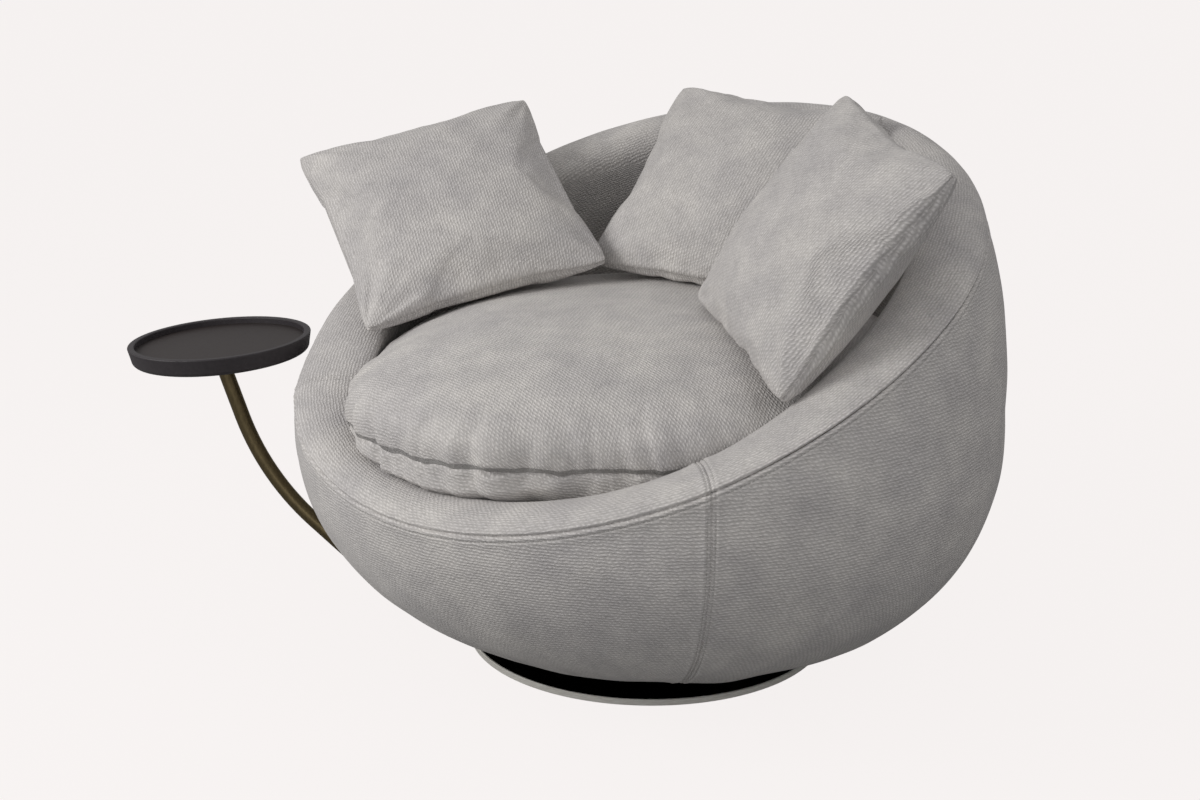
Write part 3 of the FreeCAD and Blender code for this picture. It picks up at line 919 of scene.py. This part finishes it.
def multiply_colours(tree, a, b):
    made = tree.nodes.new("ShaderNodeMix")
    made.data_type = "RGBA"
    made.blend_type = "MULTIPLY"
    made.inputs["Factor"].default_value = 1.0
    tree.links.new(a, made.inputs[6])
    tree.links.new(b, made.inputs[7])
    return made.outputs[2]


def half_wave(tree, phase):
    """A sine wave from 0 to 1."""
    return plus(tree, times(tree, math_node(tree, "SINE", phase), 0.5), 0.5)


def weave_height(tree, cloth):
    """Rows of short raised dashes, each row half a dash on from the last, in an uneven hand."""
    split = tree.nodes.new("ShaderNodeSeparateXYZ")
    tree.links.new(cloth, split.inputs["Vector"])
    drift = times(tree, noise_of(tree, cloth, 1 / 0.011, 2.0), WEAVE_DRIFT)
    turned = scaled(tree, cloth, (1.0, 1.0, 1.0), 70.0)
    sway = times(tree, noise_of(tree, turned, 1 / 0.016, 1.0), WEAVE_SWAY)
    x = plus(tree, split.outputs["X"], drift)
    y = plus(tree, split.outputs["Y"], sway)
    rows = half_wave(tree, times(tree, y, math.tau / WEAVE_ROW))
    step = times(tree, y, math.pi / WEAVE_ROW)
    dashes = half_wave(tree, plus(tree, times(tree, x, math.tau / WEAVE_DASH), step))
    return times(tree, rows, plus(tree, times(tree, dashes, 0.8), 0.2))


def fabric_material(name, turn=0.0):
    """Chenille: rows of soft dashes over a fine fuzz, with an uneven nap."""
    material, tree, shader = new_material(name)
    uv = tree.nodes.new("ShaderNodeUVMap")
    uv.uv_map = "cloth"
    cloth = scaled(tree, uv.outputs["UV"], (1.0, 1.0, 1.0), turn)
    weave = weave_height(tree, cloth)
    slub = noise_of(tree, scaled(tree, cloth, (1.0, 2.4, 1.0)), 1 / 0.0085, 1.0)
    fuzz = noise_of(tree, cloth, 1 / 0.0013, 2.0)
    relief = plus(tree, weave, times(tree, plus(tree, fuzz, slub), 0.35))
    tone = plus(tree, times(tree, weave, 0.42), times(tree, slub, 0.42))
    tone = plus(tree, tone, times(tree, fuzz, 0.30))
    nap = noise_of(tree, cloth, 1 / 0.060, 5.0, 0.62)
    place = tree.nodes.new("ShaderNodeTexCoord")
    cloud = noise_of(tree, place.outputs["Object"], 1 / 0.17, 2.0)
    woven = ramp(tree, tone, [(0.26, FABRIC_DARK), (0.72, FABRIC_LIGHT)])
    shade = ramp(tree, nap, [(0.32, (0.85, 0.85, 0.86)), (0.68, (1.07, 1.07, 1.06))])
    patch = ramp(tree, cloud, [(0.35, (0.94, 0.94, 0.95)), (0.65, (1.04, 1.04, 1.03))])
    colour = multiply_colours(tree, multiply_colours(tree, woven, shade), patch)
    tree.links.new(colour, shader.inputs["Base Color"])
    shader.inputs["Roughness"].default_value = 0.92
    shader.inputs["Specular IOR Level"].default_value = 0.25
    shader.inputs["Sheen Weight"].default_value = 0.22
    shader.inputs["Sheen Roughness"].default_value = 0.45
    shader.inputs["Sheen Tint"].default_value = (1.0, 0.98, 0.96, 1.0)
    set_bump(tree, shader, relief, 1.0, 0.0010)
    return material


def thread_material_painted_shade():
    material, tree, shader = new_material("thread")
    place = tree.nodes.new("ShaderNodeTexCoord")
    twist = noise_of(tree, place.outputs["Object"], 900.0, 2.0)
    # Thread coloured well below the cloth's tone: partly the thread's own colour, partly painted shade
    # standing in for the shade in the sunken seam lines.
    colour = ramp(tree, twist, [(0.3, (0.30, 0.29, 0.275)), (0.7, (0.42, 0.41, 0.39))])
    tree.links.new(colour, shader.inputs["Base Color"])
    shader.inputs["Roughness"].default_value = 0.7
    shader.inputs["Sheen Weight"].default_value = 0.1
    set_bump(tree, shader, twist, 0.4, 0.0003)
    return material


def metal_material(name, colour, roughness, grain, brush=(1.0, 1.0, 1.0), metallic=1.0):
    """Metal whose roughness and tone follow fine brush marks."""
    material, tree, shader = new_material(name)
    place = tree.nodes.new("ShaderNodeTexCoord")
    marks = noise_of(tree, scaled(tree, place.outputs["Object"], brush), 60.0, 4.0)
    dark = tuple(c * 0.86 for c in colour)
    light = tuple(min(1.0, c * 1.12) for c in colour)
    tree.links.new(ramp(tree, marks, [(0.3, dark), (0.7, light)]), shader.inputs["Base Color"])
    rough = plus(tree, times(tree, marks, grain), roughness - grain / 2)
    tree.links.new(rough, shader.inputs["Roughness"])
    shader.inputs["Metallic"].default_value = metallic
    set_bump(tree, shader, marks, 0.12, 0.0002)
    return material


def plain_material(name, dark, light, size, roughness, relief, specular=0.4, stretch=(1.0, 1.0, 1.0)):
    """Moulded or natural surface with a fine grain."""
    material, tree, shader = new_material(name)
    place = tree.nodes.new("ShaderNodeTexCoord")
    grain = noise_of(tree, scaled(tree, place.outputs["Object"], stretch), 1.0 / size, 5.0, 0.6)
    tree.links.new(ramp(tree, grain, [(0.3, dark), (0.7, light)]), shader.inputs["Base Color"])
    rough = plus(tree, times(tree, grain, 0.16), roughness - 0.08)
    tree.links.new(rough, shader.inputs["Roughness"])
    shader.inputs["Specular IOR Level"].default_value = specular
    set_bump(tree, shader, grain, relief, 0.0004)
    return material


def give(material, *objects):
    for obj in objects:
        if obj.data.materials:
            for k in range(len(obj.data.materials)):
                obj.data.materials[k] = material
        else:
            obj.data.materials.append(material)


# Build the pieces
body_cover = make_tub_body()
rim = make_rim()
ring_stitches = make_ring_stitches()
panel_stitches = make_panel_stitches()
pouf = make_pouf()
deck = make_deck()
underside = make_underside()
scatters = {name: make_scatter(name, place, 3 * k) for k, (name, place) in enumerate(SCATTERS.items())}

# Make and assign the materials
tub_fabric = fabric_material("chenille_tub")
seat_fabric = fabric_material("chenille_seat", 12.0)
cushion_fabric = fabric_material("chenille_cushion", 4.0)
thread = thread_material_painted_shade()
dust_fabric = plain_material(
    "dust_cloth", (0.010, 0.010, 0.010), (0.030, 0.030, 0.030), 0.0012, 0.95, 0.6, 0.1)

give(tub_fabric, body_cover, rim, deck)
give(seat_fabric, pouf)
give(cushion_fabric, *scatters.values())
give(thread, ring_stitches, panel_stitches)
give(dust_fabric, underside)

node_materials = {
    # The base plate's near-black colour is partly its own dark finish and partly painted reflection of the
    # shaded underside above it.
    "base_plate_steel": metal_material("dark_plate_and_painted_reflection", (0.085, 0.078, 0.075), 0.20, 0.06),
    "trim_ring_steel": metal_material("brushed_trim", (0.93, 0.89, 0.83), 0.30, 0.08, (1, 1, 14), 0.35),
    "zinc_steel": metal_material("zinc", (0.55, 0.56, 0.58), 0.38, 0.20),
    "arm_bronze": metal_material("satin_bronze", (0.165, 0.130, 0.070), 0.36, 0.12, (4, 4, 1)),
    "arm_hub": metal_material("black_hub", (0.020, 0.020, 0.021), 0.50, 0.15, metallic=0.3),
    "bearing_plastic": plain_material(
        "bearing_plastic", (0.62, 0.61, 0.58), (0.72, 0.71, 0.68), 0.004, 0.50, 0.2),
    "glide_rubber": plain_material(
        "glide_rubber", (0.010, 0.010, 0.010), (0.022, 0.022, 0.022), 0.003, 0.85, 0.4, 0.20),
    "tray_shell": plain_material(
        "tray_shell", (0.028, 0.024, 0.027), (0.038, 0.033, 0.036), 0.006, 0.50, 0.1, 0.35),
    "tray_top": plain_material(
        "tray_top", (0.022, 0.017, 0.016), (0.031, 0.024, 0.023), 0.010, 0.52, 0.1, 0.30, (1, 5, 1)),
    "frame_wood": plain_material(
        "plywood", (0.40, 0.26, 0.14), (0.62, 0.45, 0.28), 0.020, 0.70, 0.4, 0.30, (1, 6, 6)),
    "webbing": plain_material("webbing", (0.22, 0.15, 0.09), (0.36, 0.27, 0.17), 0.002, 0.90, 0.7, 0.20),
    "padding": plain_material("foam", (0.62, 0.58, 0.48), (0.78, 0.74, 0.64), 0.003, 0.95, 0.7, 0.20),
    "dust_cloth": dust_fabric,
    "upholstery": tub_fabric,
}
for row in frame["record"]["subparts"]:
    if row["node"] in frame["nodes"]:
        give(node_materials[row["material_slot"]], frame["nodes"][row["node"]])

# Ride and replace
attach(body_cover, "seat")
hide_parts("outer_cover_front", "outer_cover_back", "outer_foam")
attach(rim, "seat")
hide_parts("rim_cover", "rim_foam", "inner_cover", "inner_foam")
for stitches in (ring_stitches, panel_stitches):
    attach(stitches, "seat")
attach(deck, "seat")
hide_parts("deck_cloth", "deck_foam")
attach(underside, "seat")
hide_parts("dust_cover")
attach(pouf, "seat")
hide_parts("seat_cushion_border", "seat_cushion_bottom_panel",
            "seat_cushion_core", "seat_cushion_top_panel")
for name, cushion in scatters.items():
    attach(cushion, "scatter_" + name)
    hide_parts(*["scatter_" + name + part for part in ("_front_panel", "_back_panel", "_filling")])


# Floor, lights and camera
def seen_and_lit(tree, shown, lighting):
    """Joins two shaders: one for what the picture shows, one for the light thrown back."""
    rays = tree.nodes.new("ShaderNodeLightPath")
    choose = tree.nodes.new("ShaderNodeMixShader")
    tree.links.new(rays.outputs["Is Camera Ray"], choose.inputs["Fac"])
    tree.links.new(lighting, choose.inputs[1])
    tree.links.new(shown, choose.inputs[2])
    return choose.outputs["Shader"]


def make_floor():
    """A level floor that shows an even pale tone and throws back a little light."""
    verts = [Vector((x * FLOOR_REACH, y * FLOOR_REACH, 0)) for x, y in ((-1, -1), (1, -1), (1, 1), (-1, 1))]
    floor = new_object("floor", verts, [(0, 1, 2, 3)])
    material = bpy.data.materials.new("floor")
    material.use_nodes = True
    tree = material.node_tree
    tree.nodes.clear()
    diffuse = tree.nodes.new("ShaderNodeBsdfDiffuse")
    diffuse.inputs["Color"].default_value = (*FLOOR_COLOUR, 1.0)
    glow = tree.nodes.new("ShaderNodeEmission")
    glow.inputs["Color"].default_value = (*FLOOR_COLOUR, 1.0)
    glow.inputs["Strength"].default_value = 1.0
    mixed = tree.nodes.new("ShaderNodeMixShader")
    mixed.inputs["Fac"].default_value = FLOOR_GLOW
    tree.links.new(diffuse.outputs["BSDF"], mixed.inputs[1])
    tree.links.new(glow.outputs["Emission"], mixed.inputs[2])
    dim = tree.nodes.new("ShaderNodeBsdfDiffuse")
    dim.inputs["Color"].default_value = (0.30, 0.30, 0.30, 1.0)
    out = tree.nodes.new("ShaderNodeOutputMaterial")
    tree.links.new(seen_and_lit(tree, mixed.outputs["Shader"], dim.outputs["BSDF"]), out.inputs["Surface"])
    give(material, floor)


def make_light(name, place, target, size, power, colour=(1.0, 1.0, 1.0)):
    lamp = bpy.data.lights.new(name, "AREA")
    lamp.shape = "DISK"
    lamp.size = size
    lamp.energy = power
    lamp.color = colour
    obj = bpy.data.objects.new(name, lamp)
    bpy.context.scene.collection.objects.link(obj)
    obj.location = place
    obj.rotation_mode = "QUATERNION"
    obj.rotation_quaternion = (Vector(target) - Vector(place)).to_track_quat("-Z", "Y")


def make_world():
    """The floor's tone for the picture, and soft light from all round."""
    world = bpy.data.worlds.new("studio")
    world.use_nodes = True
    tree = world.node_tree
    tree.nodes.clear()
    shown = tree.nodes.new("ShaderNodeBackground")
    shown.inputs["Color"].default_value = (*FLOOR_COLOUR, 1.0)
    soft = tree.nodes.new("ShaderNodeBackground")
    soft.inputs["Color"].default_value = (*SOFT_LIGHT, 1.0)
    soft.inputs["Strength"].default_value = SOFT_STRENGTH
    out = tree.nodes.new("ShaderNodeOutputWorld")
    joined = seen_and_lit(tree, shown.outputs["Background"], soft.outputs["Background"])
    tree.links.new(joined, out.inputs["Surface"])
    bpy.context.scene.world = world


def make_camera():
    lens = bpy.data.cameras.new("camera")
    lens.lens = CAMERA_LENS
    lens.sensor_width = SENSOR_WIDTH
    camera = bpy.data.objects.new("camera", lens)
    bpy.context.scene.collection.objects.link(camera)
    camera.location = CAMERA_PLACE
    turn, pitch = math.radians(CAMERA_TURN), math.radians(CAMERA_PITCH)
    look = Vector((-math.sin(turn) * math.cos(pitch), math.cos(turn) * math.cos(pitch), -math.sin(pitch)))
    camera.rotation_mode = "QUATERNION"
    camera.rotation_quaternion = look.to_track_quat("-Z", "Y")
    bpy.context.scene.camera = camera


make_floor()
make_world()
make_light("key", (-1.5, -2.4, 1.85), (0, 0, 0.5), 1.4, 43.0, (1.0, 0.99, 0.975))
make_light("fill", (0.9, -3.0, 1.1), (0, 0, 0.4), 2.0, 9.0)
make_light("side", (2.3, -0.7, 2.1), (-0.2, 0.1, 0.6), 1.6, 5.0)
make_camera()
bpy.context.scene.view_settings.view_transform = "Standard"
